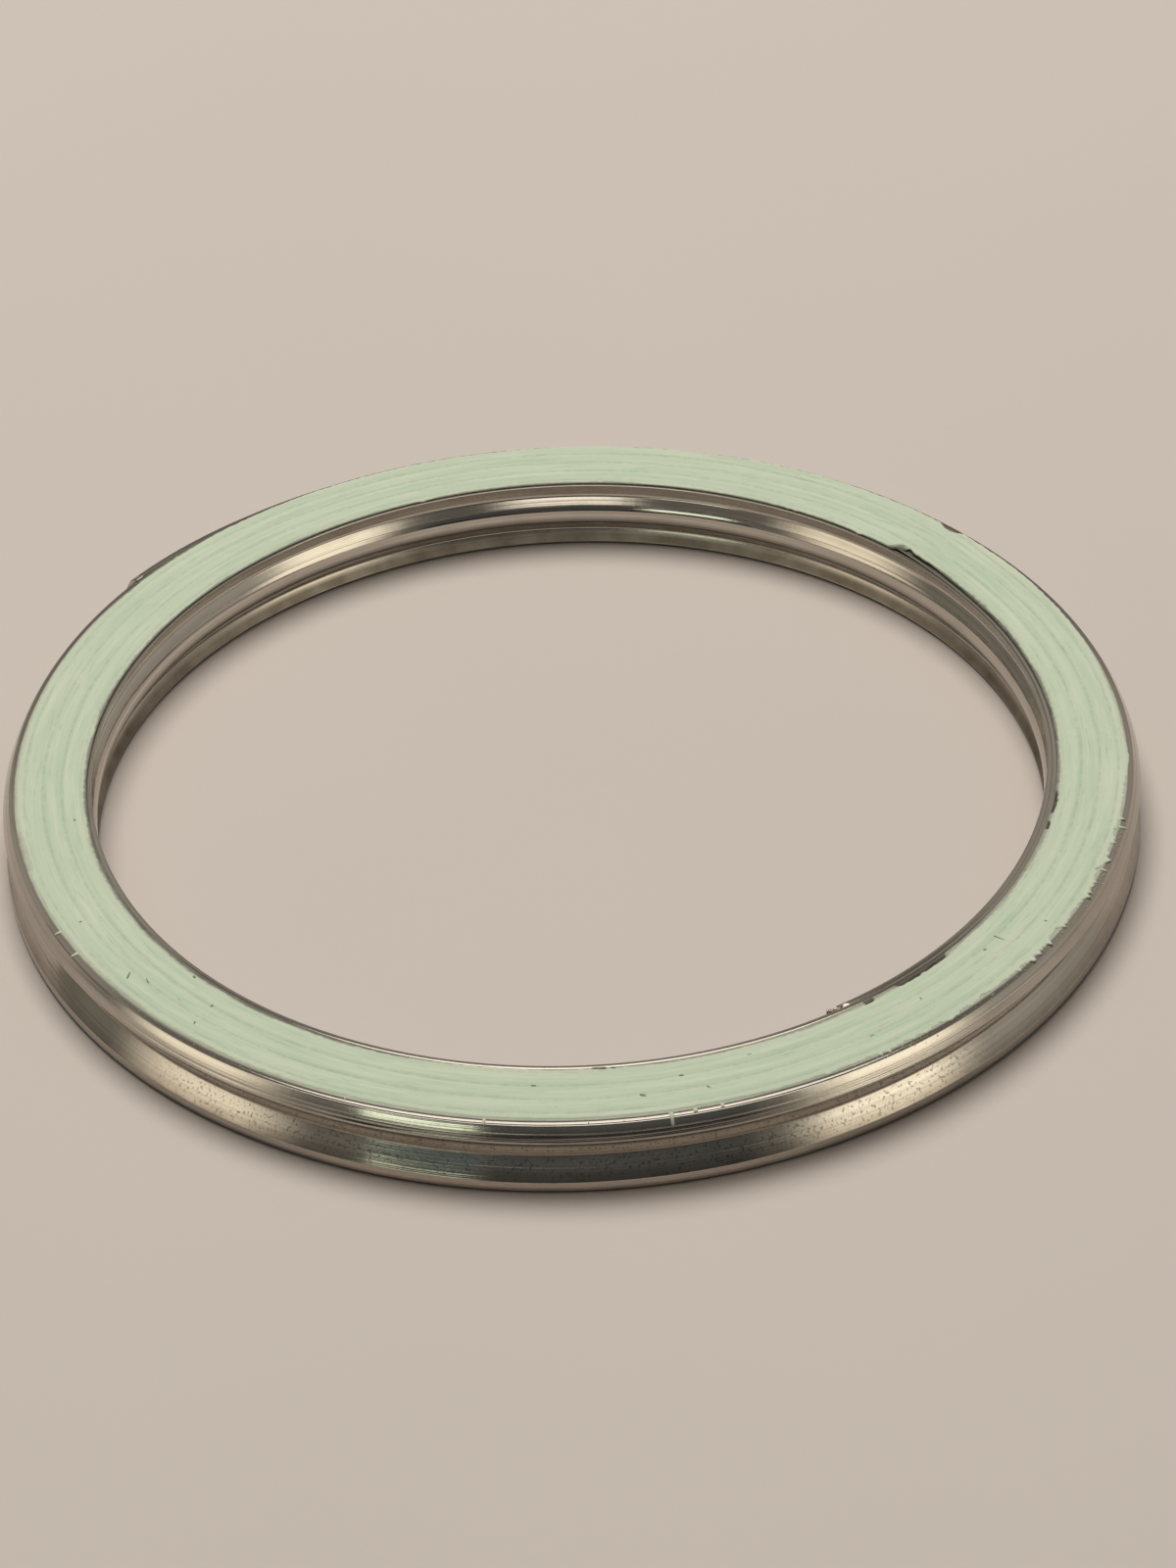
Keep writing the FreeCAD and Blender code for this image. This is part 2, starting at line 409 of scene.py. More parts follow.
# How dark the joint between the coat and the bare turn beside it is painted, grime and shade in the gap
# together, as (angle, darkness).
RIM_JOINT = (
    (0, 0.15), (38, 0.3), (42, 0.9), (60, 0.3), (118, 0.3), (124, 0.9), (144, 0.9), (150, 0.15),
    (214, 0.1), (218, 0.32), (240, 0.32), (245, 0.08), (284, 0.08), (288, 0.4), (296, 0.4),
    (300, 0.15), (360, 0.15),
)
BORE_JOINT = (
    (0, 0.7), (41, 0.9), (60, 0.6), (150, 0.6), (190, 0.75), (250, 0.75), (262, 0.45), (296, 0.45),
    (302, 0.4), (340, 0.4), (360, 0.7),
)
# Hollows beside the bare turn at the bore, sunk and painted dark for the shade in them, as (angle, half
# width in degrees).
HOLLOWS = ((311.5, 4.2), (303.6, 0.7), (346.3, 2.3), (341.8, 0.8))
# How ragged the rim is, as (angle, share), and the span that has closer rows of points for it.
RAGGED = ((0, 0), (290, 0), (298, 0.6), (304, 1), (346, 1), (352, 0.4), (354, 0), (360, 0))
RAGGED_SPAN = (293, 353)
COAT_STRIDE, RAGGED_STRIDE = 0.27, 0.1
MM_PER_DEGREE = math.radians(COAT_RADIUS)

# Places of the points across the coat, closer together at its rims.
COAT_ACROSS = np.concatenate(
    [[0, 0.005, 0.014, 0.03], np.linspace(0.055, 0.945, 40), [0.97, 0.986, 0.995, 1]]
)
# What stands in the field "away" where no turn is near.
NO_TURN = 9.0
# Below the coat's full thickness its surface has room for ridges, and its rims drop rounded.
RIDGE_ROOM = 0.02
RIM_DROP = 0.06
RIM_ROUND = 0.14
# Toward the bore at the back the rim is rounder still, over these angles.
BACK_ROUND = 0.22
BACK_SPAN = ((40, 60), (140, 170))
# The skirts end this far above the metal, and a hollow sinks them. The coat's back lies in it.
SKIRT_LEVEL = 0.004
HOLLOW_DEPTH = 0.3
COAT_BACK = 0.06


def spikes(angle, seed):
    """Uneven little tongues and notches of a torn edge, in millimetres."""
    draw = np.random.default_rng(seed)
    count = 210
    places = draw.uniform(*RAGGED_SPAN, count)
    widths = draw.uniform(0.035, 0.13, count) / MM_PER_DEGREE
    heights = np.clip(draw.exponential(0.075, count), 0.02, 0.26) * draw.choice([1, 1, -0.8], count)
    shape = (heights * np.exp(-((angle[:, None] - places) / widths) ** 2)).sum(axis=1)
    return np.clip(shape, -0.2, 0.28)


def coat_angles():
    """Angles of the coat's rows of points."""
    low, high = RAGGED_SPAN
    even = np.arange(0, 360, COAT_STRIDE)
    even = even[(even <= low) | (even >= high)]
    return np.unique(np.concatenate([even, np.arange(low, high, RAGGED_STRIDE)]))


def coat_edges(angle, seed, ragged):
    """Radii of the coat's uneven inner and outer edge, the outer one more or less ragged."""
    fine = Ripple(seed, (90, 420), 60)
    broad = Ripple(seed + 1, (8, 60), 24)
    other = angle + 7
    inner = by_angle(INNER_EDGE, angle) * COAT_RADIUS + 0.014 * fine(angle) + 0.02 * broad(angle)
    outer = by_angle(OUTER_EDGE, angle) * COAT_RADIUS + 0.012 * fine(other) + 0.01 * broad(other)
    clumps = 0.05 * np.clip(Ripple(seed + 5, (30, 130), 40)(angle), -1, 1.5)
    clumps = spikes(angle, seed + 2) + clumps
    return inner, outer + ragged * by_angle(RAGGED, angle) * clumps


def past_turn(theta, radius):
    """How far outside the nearest turn's outer side a place lies."""
    away = np.full(radius.shape, NO_TURN)
    for turn in range(FILLED_TURNS + 1):
        past = radius - turn_radius(theta + 360 * turn, SEEN_GAUGE)
        away = np.where(np.abs(past) < np.abs(away), past, away)
    return away


def coat_level(theta, radius, away, rim, thick, seed):
    """Height of the coat over the metal: low ridges along the turns below it, rounded rims."""
    grain = Ripple(seed, (120, 700), 60)(theta + radius * 41)
    relief = 0.018 * hump(away, -0.05, 0.13) - 0.022 * hump(away, 0.26, 0.1) + 0.003 * grain
    at_bore = COAT_ACROSS[None, :] < 0.5
    soft = RIM_ROUND + BACK_ROUND * window(theta, *BACK_SPAN) * at_bore
    inward = np.clip(rim / soft, 0, 1)
    drop = RIM_DROP * (1 - np.sqrt(np.clip(1 - (1 - inward) ** 2, 0, 1)))
    return np.clip(thick - RIDGE_ROOM + relief - drop, 0.008, thick)


def coat_faces(rows, columns):
    """The coat's surface, and its flat back of two points a row with a wall to each edge."""
    faces = grid_faces(rows, columns, close_rows=True)
    base = rows * columns
    for row in range(rows):
        after = (row + 1) % rows
        inner, inner_after = base + 2 * row, base + 2 * after
        faces.append([inner, inner + 1, inner_after + 1, inner_after])
        faces.append([row * columns, inner, inner_after, after * columns])
        faces.append([(row + 1) * columns - 1, (after + 1) * columns - 1, inner_after + 1, inner + 1])
    return faces


def make_coat(name, outside, inside, seed, ragged):
    """A coat from the metal's edges at one height to its own face at another."""
    side = math.copysign(1, outside - inside)
    spread = SPREAD_FOOT if side < 0 else 0.0
    angle = coat_angles()
    inner, outer = coat_edges(angle, seed, ragged)
    outer = outer + spread
    theta = np.repeat(angle[:, None], len(COAT_ACROSS), axis=1)
    radius = inner[:, None] + (outer - inner)[:, None] * COAT_ACROSS[None, :]
    rim = np.minimum(COAT_ACROSS, 1 - COAT_ACROSS)[None, :] * (outer - inner)[:, None]
    away = past_turn(theta, radius)
    level = coat_level(theta, radius, away, rim, abs(outside - inside), seed + 3)

    # skirts fill the joints between the coat and the bare turns beside it, and carry the joints' painted
    # grime and shade
    bore_turn = turn_radius(np.where(angle < STEP_ANGLE, angle + 360, angle), SEEN_GAUGE)
    rim_turn = turn_radius(on_last_turn(angle), spread)
    foot_in = np.clip(bore_turn - 0.05, inner - 0.4, inner - 0.015)
    foot_out = np.clip(rim_turn + 0.06, outer + 0.012, outer + 0.3)
    hollow = np.zeros(len(angle))
    for place, half in HOLLOWS:
        hollow = np.maximum(hollow, 1 - smooth(half * 0.75, half, np.abs(angle - place)))
    skirt_in = SKIRT_LEVEL - HOLLOW_DEPTH * hollow
    skirt_out = np.full(len(angle), SKIRT_LEVEL)
    columns = np.column_stack([foot_in, (foot_in + inner) / 2, radius, (foot_out + outer) / 2, foot_out])
    levels = np.column_stack(
        [skirt_in, skirt_in * 0.5 + 0.012, level, skirt_out * 0.5 + 0.012, skirt_out]
    )
    count = columns.shape[1]

    flat = unit(angle)[:, None, :] * columns[..., None] + CENTRE
    surface = np.concatenate([flat, (inside + side * levels)[..., None]], axis=-1)
    back = surface[:, [0, count - 1], :].copy()
    back[..., 2] = inside - side * COAT_BACK
    points = np.concatenate([surface.reshape(-1, 3), back.reshape(-1, 3)])
    faces = coat_faces(len(angle), count)
    if side > 0:
        faces = [face[::-1] for face in faces]

    beside = ((0, 0), (2, 2))
    # darkness of the joints, grime and painted shade together, darkest in the hollows
    soil_and_shade = np.zeros(columns.shape)
    soil_and_shade[:, :4] = np.maximum(by_angle(BORE_JOINT, angle), hollow * 1.6)[:, None]
    soil_and_shade[:, -4:] = by_angle(RIM_JOINT, angle)[:, None]
    fields = {
        "away": (np.pad(away, beside, constant_values=NO_TURN), NO_TURN),
        "rim": (np.pad(rim, beside), 0),
        "skirt": (np.pad(np.zeros(radius.shape), beside, constant_values=1), 1),
        "soil_and_shade": (soil_and_shade, 1),
        "angle": (np.repeat(angle, count), np.repeat(angle, 2)),
        "radius": (columns, COAT_RADIUS),
    }
    on_back = np.zeros(2 * len(angle))
    fields = {
        field: np.concatenate([values.ravel(), on_back + behind])
        for field, (values, behind) in fields.items()
    }
    return new_mesh(name, points, faces, **fields)


class Nodes:
    """Short calls for building a node tree."""

    def __init__(self, tree):
        self.tree = tree

    def add(self, kind, **settings):
        node = self.tree.nodes.new(kind)
        for name, value in settings.items():
            setattr(node, name, value)
        return node

    def feed(self, socket, value):
        """Give a socket a number, a colour or what another socket yields."""
        if isinstance(value, tuple):
            socket.default_value = (*value, 1)
        elif isinstance(value, (int, float)):
            socket.default_value = value
        else:
            self.tree.links.new(value, socket)

    def fed(self, node, values):
        """The node, with values fed to sockets by name or number."""
        for key, value in values.items():
            self.feed(node.inputs[key], value)
        return node

    def field(self, name):
        return self.add("ShaderNodeAttribute", attribute_name=name).outputs["Fac"]

    def position(self, space="Object"):
        return self.add("ShaderNodeTexCoord").outputs[space]

    def math(self, operation, *values):
        node = self.add("ShaderNodeMath", operation=operation)
        return self.fed(node, dict(enumerate(values))).outputs[0]

    def times(self, first, *others):
        for value in others:
            first = self.math("MULTIPLY", first, value)
        return first

    def vector(self, x, y, z):
        return self.fed(self.add("ShaderNodeCombineXYZ"), {0: x, 1: y, 2: z}).outputs[0]

    def stretched(self, first, second, level):
        """A place for noise from two fields, each with its scale, and a level of its own."""
        return self.vector(self.times(*first), self.times(*second), level)

    def split(self, vector):
        return self.fed(self.add("ShaderNodeSeparateXYZ"), {0: vector}).outputs

    def noise(self, place, scale, detail, roughness):
        values = {"Vector": place, "Scale": scale, "Detail": detail, "Roughness": roughness}
        return self.fed(self.add("ShaderNodeTexNoise"), values).outputs["Fac"]

    def ramp(self, value, *stops):
        node = self.fed(self.add("ShaderNodeValToRGB"), {"Fac": value})
        elements = node.color_ramp.elements
        while len(elements) < len(stops):
            elements.new(0.5)
        for element, (place, grey) in zip(elements, stops):
            element.position = place
            element.color = (grey, grey, grey, 1)
        return node.outputs["Color"]

    def between(self, value, low, high, soft):
        """1 between two values and 0 outside, with a soft change at each."""
        sides = []
        for start, end in ((low - soft, low + soft), (high + soft, high - soft)):
            node = self.add("ShaderNodeMapRange", interpolation_type="SMOOTHSTEP")
            sides.append(self.fed(node, {"Value": value, "From Min": start, "From Max": end}).outputs[0])
        return self.times(*sides)

    def mix(self, factor, first, second):
        node = self.add("ShaderNodeMix", data_type="RGBA")
        return self.fed(node, {0: factor, 6: first, 7: second}).outputs[2]


class Surface(Nodes):
    """The nodes of one material."""

    def __init__(self, name):
        self.material = bpy.data.materials.new(name)
        self.material.use_nodes = True
        super().__init__(self.material.node_tree)
        self.shader = self.tree.nodes["Principled BSDF"]

    def set(self, socket, value):
        self.feed(self.shader.inputs[socket], value)

    def bump(self, height, strength, distance, normal=None):
        """A bump's normal, on top of another where one is given."""
        node = self.fed(
            self.add("ShaderNodeBump"), {"Height": height, "Strength": strength, "Distance": distance}
        )
        if normal is not None:
            self.feed(node.inputs["Normal"], normal)
        return node.outputs["Normal"]


def coat_material():
    """Matte grey-green coat: streaked along the ring, paler at its rims, with grime and painted shade at
    its joints.
    """
    green, cream, cloudy = (0.480, 0.578, 0.415), (0.625, 0.665, 0.505), (0.575, 0.630, 0.465)
    streaked, grooved = (0.38, 0.46, 0.31), (0.27, 0.33, 0.22)
    # The rim's darkest colour and the dark joint colours stand for grime and painted shade, the
    # near-black one for shade in gaps and hollows.
    rim_cream, rim_soil_and_shade, fleck = (0.61, 0.62, 0.46), (0.20, 0.20, 0.145), (0.66, 0.69, 0.56)
    clean_joint = (0.44, 0.43, 0.34), (0.58, 0.58, 0.46)
    joint_shade_and_soil = (0.03, 0.027, 0.022), (0.10, 0.092, 0.072)
    n = Surface("coat")
    place = n.position()
    names = ("angle", "radius", "away", "rim", "skirt", "soil_and_shade")
    angle, radius, away, rim, skirt, soil_and_shade = (n.field(name) for name in names)
    broad_ring = n.stretched((angle, 0.07), (radius, 2.4), 0.0)
    fine_ring = n.stretched((angle, 0.22), (radius, 5.5), 7.0)

    # broad and fine streaks along the ring, with clouds between them
    streak = n.ramp(n.noise(broad_ring, 1.0, 4, 0.6), (0.32, 0.0), (0.68, 1.0))
    colour = n.mix(streak, green, cream)
    cloud = n.ramp(n.noise(place, 120, 4, 0.6), (0.35, 0.0), (0.65, 1.0))
    colour = n.mix(n.times(cloud, 0.35), colour, cloudy)
    fine = n.ramp(n.noise(fine_ring, 1.0, 4, 0.65), (0.30, 1.0), (0.44, 0.0))
    colour = n.mix(n.times(fine, 0.55), colour, streaked)

    # a darker, broken groove outside each turn below
    groove = n.ramp(n.math("ABSOLUTE", n.math("SUBTRACT", away, 0.26)), (0.0, 1.0), (0.15, 0.0))
    dash_place = n.stretched((angle, 0.8), (radius,), 0.0)
    dashes = n.ramp(n.noise(dash_place, 1.2, 4, 0.7), (0.38, 0.2), (0.66, 1.0))
    colour = n.mix(n.times(groove, dashes, 0.42), colour, grooved)

    # the rims, pale first and then darkened right at the edge with grime and painted shade
    pale = n.ramp(rim, (0.0, 1.0), (0.22, 0.7), (0.5, 0.0))
    pale_break = n.ramp(n.noise(place, 420, 4, 0.7), (0.35, 0.15), (0.65, 1.0))
    colour = n.mix(n.times(pale, pale_break, 0.6), colour, rim_cream)
    edge = n.ramp(rim, (0.0, 1.0), (0.045, 0.3), (0.09, 0.0))
    edge_break = n.ramp(n.noise(place, 900, 4, 0.7), (0.42, 0.0), (0.62, 1.0))
    colour = n.mix(n.times(edge, edge_break, n.times(soil_and_shade, 0.75)), colour, rim_soil_and_shade)

    # the skirts in the joints, painted with grime and shade, near black where there is only shade
    joint_mottle = n.ramp(n.noise(place, 900, 4, 0.7), (0.35, 0.0), (0.65, 1.0))
    joint = n.mix(n.math("MINIMUM", soil_and_shade, 1.0), n.mix(joint_mottle, *clean_joint), n.mix(joint_mottle, *joint_shade_and_soil))
    colour = n.mix(skirt, colour, joint)

    specks = n.ramp(n.noise(place, 2600, 2, 0.5), (0.70, 0.0), (0.74, 1.0))
    n.set("Base Color", n.mix(n.times(specks, 0.3), colour, fleck))
    n.set("Roughness", 0.75)
    n.set("Specular IOR Level", 0.25)
    normal = n.bump(n.noise(place, 700, 3, 0.5), 0.3, 0.00006)
    normal = n.bump(n.noise(fine_ring, 1.0, 4, 0.65), 0.5, 0.00003, normal)
    n.set("Normal", n.bump(n.noise(place, 3200, 4, 0.65), 0.35, 0.00003, normal))
    return n.material


# A height in metres times this is 1 at 5 mm above the floor.
HEIGHT_SCALE = 200.0


def steel_material():
    """Rolled stainless strip: warm grey, fine lines along its length, small pits and stains, and painted
    pale reflections and dark shade on its wall.
    """
    shade, light, stained = (0.40, 0.37, 0.325), (0.60, 0.57, 0.515), (0.33, 0.30, 0.255)
    # Of these, the second is a pale reflection of the floor painted on the wall, and also the burr's
    # paler metal; the third is painted shade and dark reflections on the outer wall, and a darkening
    # toward the foot inside.
    pitted, pale_and_painted_reflection, darkening_tint = (0.12, 0.105, 0.088), (0.80, 0.70, 0.63), (0.16, 0.13, 0.10)
    n = Surface("steel")
    along, across = n.field("along"), n.field("across")
    place = n.position()
    height = n.times(n.split(place)[2], HEIGHT_SCALE)
    lines = n.noise(n.stretched((along, 0.02), (across, 9.0), 0.0), 1.0, 3, 0.6)
    fine = n.noise(n.stretched((along, 0.05), (across, 30.0), 5.0), 1.0, 3, 0.6)
    chatter = n.noise(n.stretched((along, 4.5), (across, 0.5), 9.0), 1.0, 2, 0.5)
    stain = n.noise(n.stretched((along, 0.4), (across, 1.2), 3.0), 0.8, 4, 0.6)
    colour = n.mix(n.ramp(lines, (0.3, 0.0), (0.7, 1.0)), shade, light)
    colour = n.mix(n.ramp(stain, (0.52, 0.0), (0.75, 0.45)), colour, stained)

    # pits in the wall's lower half, then the painted pale floor reflection and the painted dark shade,
    # broken up by noise
    low = n.ramp(height, (0.12, 0.0), (0.16, 1.0), (0.33, 1.0), (0.37, 0.15))
    pits = n.ramp(n.noise(place, 6000, 2, 0.5), (0.58, 0.0), (0.63, 1.0))
    pits = n.times(pits, low, n.field("pitted"))
    colour = n.mix(n.times(pits, 0.65), colour, pitted)
    breakup = n.ramp(n.noise(place, 500, 4, 0.6), (0.3, 0.6), (0.7, 1.0))
    colour = n.mix(n.times(n.field("pale"), breakup), colour, pale_and_painted_reflection)
    n.set("Base Color", n.mix(n.times(n.field("dark"), breakup), colour, darkening_tint))
    n.set("Metallic", 1.0)
    rough = n.math("ADD", n.math("ADD", n.times(fine, 0.09), 0.045), n.field("dull"))
    n.set("Roughness", n.math("ADD", rough, n.times(pits, 0.05)))

    # the lines are deepest on the upper crest
    grooved = n.ramp(height, (0.60, 0.3), (0.64, 1.0), (0.785, 1.0), (0.805, 0.15))
    normal = n.bump(n.times(lines, grooved), 0.8, 0.000018)
    normal = n.bump(fine, 0.2, 0.000006, normal)
    normal = n.bump(chatter, 0.12, 0.00001, normal)
    n.set("Normal", n.bump(n.noise(place, 1500, 3, 0.5), 0.15, 0.000012, normal))
    return n.material


def filler_material():
    """Dark fibrous tape."""
    n = Surface("filler")
    fibres = n.noise(n.position(), 1500, 5, 0.7)
    n.set("Base Color", n.mix(fibres, (0.05, 0.047, 0.04), (0.13, 0.12, 0.10)))
    n.set("Roughness", 0.9)
    n.set("Normal", n.bump(fibres, 0.6, 0.00006))
    return n.material


def mark_material():
    """Dark bottom of a chip or scratch."""
    n = Surface("mark")
    fleck = n.noise(n.position(), 2400, 3, 0.6)
    n.set("Base Color", n.mix(fleck, (0.17, 0.185, 0.13), (0.30, 0.33, 0.23)))
    n.set("Roughness", 0.85)
    return n.material


# Scratches and specks that the photograph shows on the coat: angle, radius in coat radii,
# length and width in millimetres, and the direction off the radius in degrees.
MARKS = (
    (217.5, 0.968, 0.62, 0.10, 38), (207, 0.965, 0.16, 0.12, 0), (228, 0.970, 0.20, 0.12, 40),
    (227.5, 0.920, 0.16, 0.12, 0), (222.5, 0.888, 0.20, 0.14, 60), (189.5, 0.901, 0.18, 0.10, 80),
    (267.5, 0.976, 0.22, 0.12, 50), (265, 0.920, 0.30, 0.08, 85), (276, 0.957, 0.34, 0.16, 70),
    (282.5, 0.960, 0.26, 0.12, 30), (318.5, 0.927, 0.18, 0.14, 0), (326, 0.973, 0.22, 0.14, 30),
    (321, 0.929, 0.70, 0.07, 3), (280.3, 0.921, 0.24, 0.10, 80), (308, 0.934, 0.16, 0.10, 10),
    (272, 0.880, 0.80, 0.15, 90), (273.4, 0.881, 0.30, 0.12, 80), (224, 0.945, 0.55, 0.06, 75),
    (219.5, 0.952, 0.40, 0.06, 70), (300.5, 0.958, 0.30, 0.06, 85), (288, 0.905, 0.26, 0.06, 88),
)
MARK_SIDES = 12
# A mark's bottom and brim as (depth below the coat's top, size), and the depth of its middle.
MARK_RINGS = ((0.05, 0.9), (0.012, 1.0))
MARK_MIDDLE = 0.008


def make_marks():
    """Thin dark lenses let into the coat."""
    points, faces = [], []
    sides = MARK_SIDES
    draw = np.random.default_rng(5)
    for angle, radius, length, width, lean in MARKS:
        centre = unit(angle) * radius * COAT_RADIUS + CENTRE
        along = unit(angle + lean)
        over = np.array([-along[1], along[0]])
        first = len(points)
        for depth, size in MARK_RINGS:
            for side in range(sides):
                turn = 2 * math.pi * side / sides
                wide = size * (1 + 0.25 * draw.uniform(-1, 1))
                spot = centre + along * math.cos(turn) * length / 2 * wide
                spot = spot + over * math.sin(turn) * width / 2 * wide
                points.append([*spot, COAT_HIGH - depth])
        points.append([*centre, COAT_HIGH - MARK_MIDDLE])
        for side in range(sides):
            after = (side + 1) % sides
            faces.append([first + side, first + after, first + sides + after, first + sides + side])
            faces.append([first + sides + side, first + sides + after, first + 2 * sides])
        faces.append([first + side for side in range(sides)][::-1])
    return new_mesh("coat_marks", points, faces)


# Runs of coat down the outer wall: angle, length and width in millimetres.
RUNS = (
    (278.1, 0.78, 0.21), (260.6, 0.40, 0.17), (283.0, 0.26, 0.20), (280.4, 0.24, 0.26),
    (207.3, 0.38, 0.18), (211.2, 0.44, 0.20), (247.0, 0.16, 0.10), (343.2, 0.46, 0.16),
    (336.0, 0.34, 0.13), (331.3, 0.24, 0.10),
)
RUN_ROWS, RUN_COLUMNS = 9, 6
RUN_THICKNESS = 0.08
# Crumbs of coat on it, as (from, to, how many), and the largest one.
CRUMBS = ((296, 347, 120), (217, 241, 16), (268, 286, 9))
CRUMB_LIMIT = 0.06
CRUMB_CORNERS = ((0, 0, 1), (1, 0, 0), (0, 1, 0), (-1, 0, 0), (0, -1, 0), (0, 0, -1))
CRUMB_FACES = (
    (0, 1, 2), (0, 2, 3), (0, 3, 4), (0, 4, 1), (5, 2, 1), (5, 3, 2), (5, 4, 3), (5, 1, 4),
)
# How deep runs and crumbs sit in the metal or stand off it.
SEAT = 0.008
# The wall's section is followed from the top as far as this point of its outer side.
WALL_POINTS = 18


def wall_path():
    """The outer turn's surface from the top's inner corner down the wall: places and normals."""
    outer = strip_side(last=True) + [SEEN_GAUGE, 0]
    line = np.array([*crowned(STRIP_HIGH, 1)[1:], *outer[1:WALL_POINTS]])
    reach = np.concatenate([[0], np.cumsum(np.linalg.norm(np.diff(line, axis=0), axis=1))])
    slope = np.gradient(line, axis=0)
    slope /= np.linalg.norm(slope, axis=1)[:, None]
    return reach, line, np.column_stack([-slope[:, 1], slope[:, 0]])


def on_wall(path, angle, reach):
    """Place and normal on the outer turn at an angle, a distance along its section."""
    far, line, normal = path
    outward, height = (np.interp(reach, far, line[:, k]) for k in (0, 1))
    lean, rise = (np.interp(reach, far, normal[:, k]) for k in (0, 1))
    spot = winding(on_last_turn(angle), outward)
    return np.array([*spot, height]), np.array([*(unit(angle) * lean), rise])


def make_spatter():
    """Runs and crumbs of coat on the bare metal outside the coat's edge."""
    path = wall_path()
    draw = np.random.default_rng(71)
    points, faces = [], []
    for angle, length, width in RUNS:
        along = np.array([*unit(angle + 90), 0])
        faces += tube_faces(RUN_ROWS, RUN_COLUMNS, len(points), order=-1)
        for row in range(RUN_ROWS):
            part = row / (RUN_ROWS - 1)
            tip = math.sqrt(max(1 - part ** 6, 0.01))
            half = width / 2 * (1.5 - 2.2 * part + 1.9 * part ** 2) * tip
            swell = (0.5 + 0.7 * part) * math.sqrt(max(1 - part ** 8, 0.01))
            spot, normal = on_wall(path, angle, part * length)
            for column in range(RUN_COLUMNS):
                turn = math.pi * column / (RUN_COLUMNS - 1)
                lift = RUN_THICKNESS * math.sin(turn) * swell - SEAT
                points.append(spot + along * half * math.cos(turn) + normal * lift)
    for low, high, count in CRUMBS:
        for _ in range(count):
            angle = draw.uniform(low, high)
            size = min(0.018 + draw.exponential(0.014), CRUMB_LIMIT)
            spot, normal = on_wall(path, angle, draw.uniform(0.05, 0.2) + draw.exponential(0.09))
            faces += [[len(points) + corner for corner in face] for face in CRUMB_FACES]
            for corner in CRUMB_CORNERS:
                stretch = np.array(corner) * draw.uniform(0.6, 1.4, 3) * size
                points.append(spot + normal * SEAT + stretch)
    blank = np.zeros(len(points))
    fields = {"angle": 0, "radius": 0, "away": NO_TURN, "rim": 0.12, "skirt": 0, "soil_and_shade": 0}
    fields = {field: blank + value for field, value in fields.items()}
    return new_mesh("coat_spatter", points, faces, **fields)


# The strip's inner end: thin flaps torn up by the cut, as (start, length, low, high, inward curl).
FLAPS = ((0.0, 0.55, 3.25, 4.12, 0.30), (-0.35, 0.30, 3.9, 4.19, 0.12))
FLAP_ROWS, FLAP_COLUMNS = 8, 5
FLAP_THICKNESS = 0.05
FLAP_BOW = 0.06
FLAP_SAG = 0.12
# How far outside the strip's inner surface they are torn off.
FLAP_ROOT = 0.2


def make_burr():
    """Bright curled flaps at the strip's inner end."""
    points, faces = [], []
    columns = range(FLAP_COLUMNS)
    for start, length, low, high, curl in FLAPS:
        faces += tube_faces(FLAP_ROWS, 2 * FLAP_COLUMNS, len(points), order=-1)
        for row in range(FLAP_ROWS):
            part = row / (FLAP_ROWS - 1)
            phi = INNER_END_ANGLE - (start + part * length) / MM_PER_DEGREE
            inward = curl * part ** 1.6
            for depth, order in ((0, columns), (FLAP_THICKNESS, columns[::-1])):
                for column in order:
                    share = column / (FLAP_COLUMNS - 1)
                    level = low + (high - low) * share - FLAP_SAG * part * share
                    bow = FLAP_BOW * math.sin(math.pi * share)
                    outward = FLAP_ROOT - depth - inward - bow * part
                    points.append([*winding(phi, outward), level])
    blank = np.zeros(len(points))
    heights = np.array(points)[:, 2]
    return new_mesh(
        "strip_burr", points, faces, along=blank, across=heights, dull=blank, pale=blank + 1, dark=blank,
        pitted=blank,
    )


# The photograph's view: elevation, roll and lens from the ring's two outlines.
ELEVATION = 0.65423
ROLL = 0.041236
DISTANCE = 8.19430 * COAT_RADIUS
AIM_ACROSS = -0.0328326 * COAT_RADIUS
AIM_DOWN = -0.0632602 * COAT_RADIUS
FOCAL_PIXELS = 4613.898
FRAME_WIDTH = 1200
SENSOR = 36.0


def make_camera():
    """A camera at the photograph's angle, aimed as the photograph is."""
    forward = Vector((0, math.cos(ELEVATION), -math.sin(ELEVATION)))
    right = Vector((1, 0, 0))
    down = forward.cross(right)
    right_rolled = math.cos(ROLL) * right + math.sin(ROLL) * down
    down_rolled = -math.sin(ROLL) * right + math.cos(ROLL) * down
    target = Vector((CENTRE[0], CENTRE[1], COAT_HIGH))
    place = target - forward * DISTANCE - right_rolled * AIM_ACROSS - down_rolled * AIM_DOWN
    data = bpy.data.cameras.new("camera")
    data.sensor_fit = "HORIZONTAL"
    data.sensor_width = SENSOR
    data.lens = FOCAL_PIXELS / FRAME_WIDTH * SENSOR
    data.clip_start = 0.001
    camera = bpy.data.objects.new("camera", data)
    rotation = Matrix((right_rolled, -down_rolled, -forward)).transposed()
    camera.matrix_world = Matrix.Translation(place * MM) @ rotation.to_4x4()
    bpy.context.scene.collection.objects.link(camera)
    bpy.context.scene.camera = camera


FLOOR_REACH = 3000


